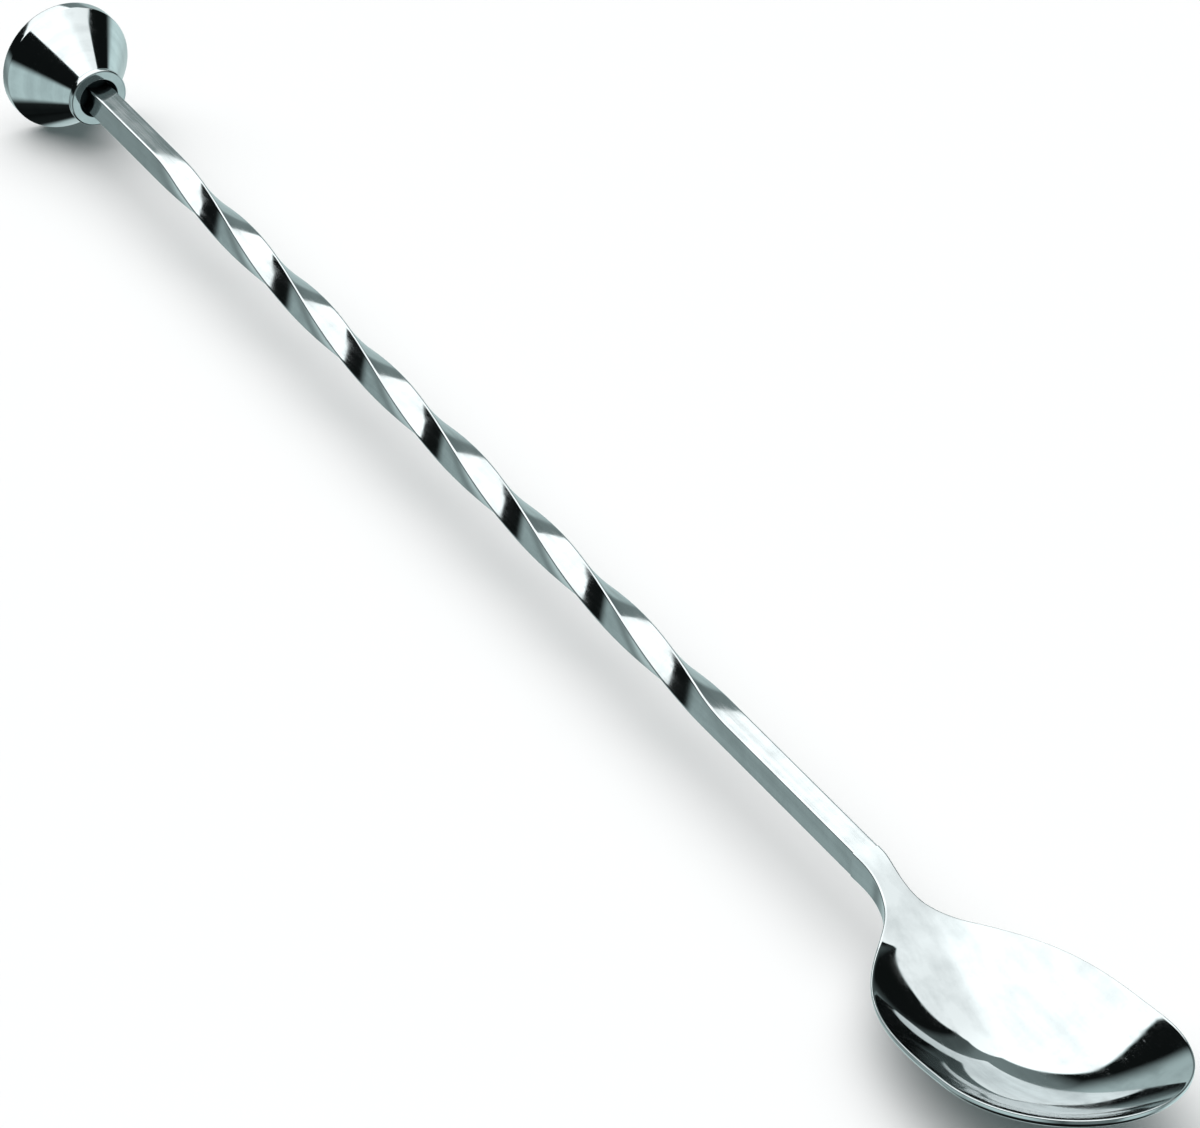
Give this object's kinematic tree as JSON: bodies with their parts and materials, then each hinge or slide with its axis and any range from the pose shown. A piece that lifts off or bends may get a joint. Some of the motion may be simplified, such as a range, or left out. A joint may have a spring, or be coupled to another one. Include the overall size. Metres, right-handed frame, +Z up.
{
  "type": "bar spoon",
  "caption": "Long steel bar spoon: deep oval bowl, twisted square shaft and a screw-on conical masher head with a collar.",
  "frame": {"origin": "under the middle of the spoon's length, on the surface that it lies on, bowl up", "axes": "+X along the shaft from the masher head to the bowl's tip, +Y across the bowl, +Z up out of the bowl"},
  "size_m": [0.282, 0.0296, 0.0188],
  "materials": {
    "turned_steel": "turned and polished stainless steel, faint lathe rings",
    "polished_steel": "mirror-polished stainless steel, fine lengthwise polishing lines"
  },
  "bodies": {
    "spoon": {"shaft": "polished_steel", "bowl": "polished_steel"},
    "collar": {"collar": "turned_steel"},
    "masher_head": {"masher_head": "turned_steel"}
  },
  "joints": [
    {"name": "collar_travel", "type": "slide", "parent": "spoon", "child": "collar", "axis": [-1, 0, 0], "range_m": [0, 0.006]},
    {"name": "masher_unscrew", "type": "hinge", "parent": "collar", "child": "masher_head", "pos_m": [-0.1307, 0, 0.0094], "axis": [-1, 0, 0], "range_deg": [0, 4320]}
  ],
  "couplings": [
    {"joint": "collar_travel", "follows": "masher_unscrew", "m_per_rad": 0.000079577}
  ]
}
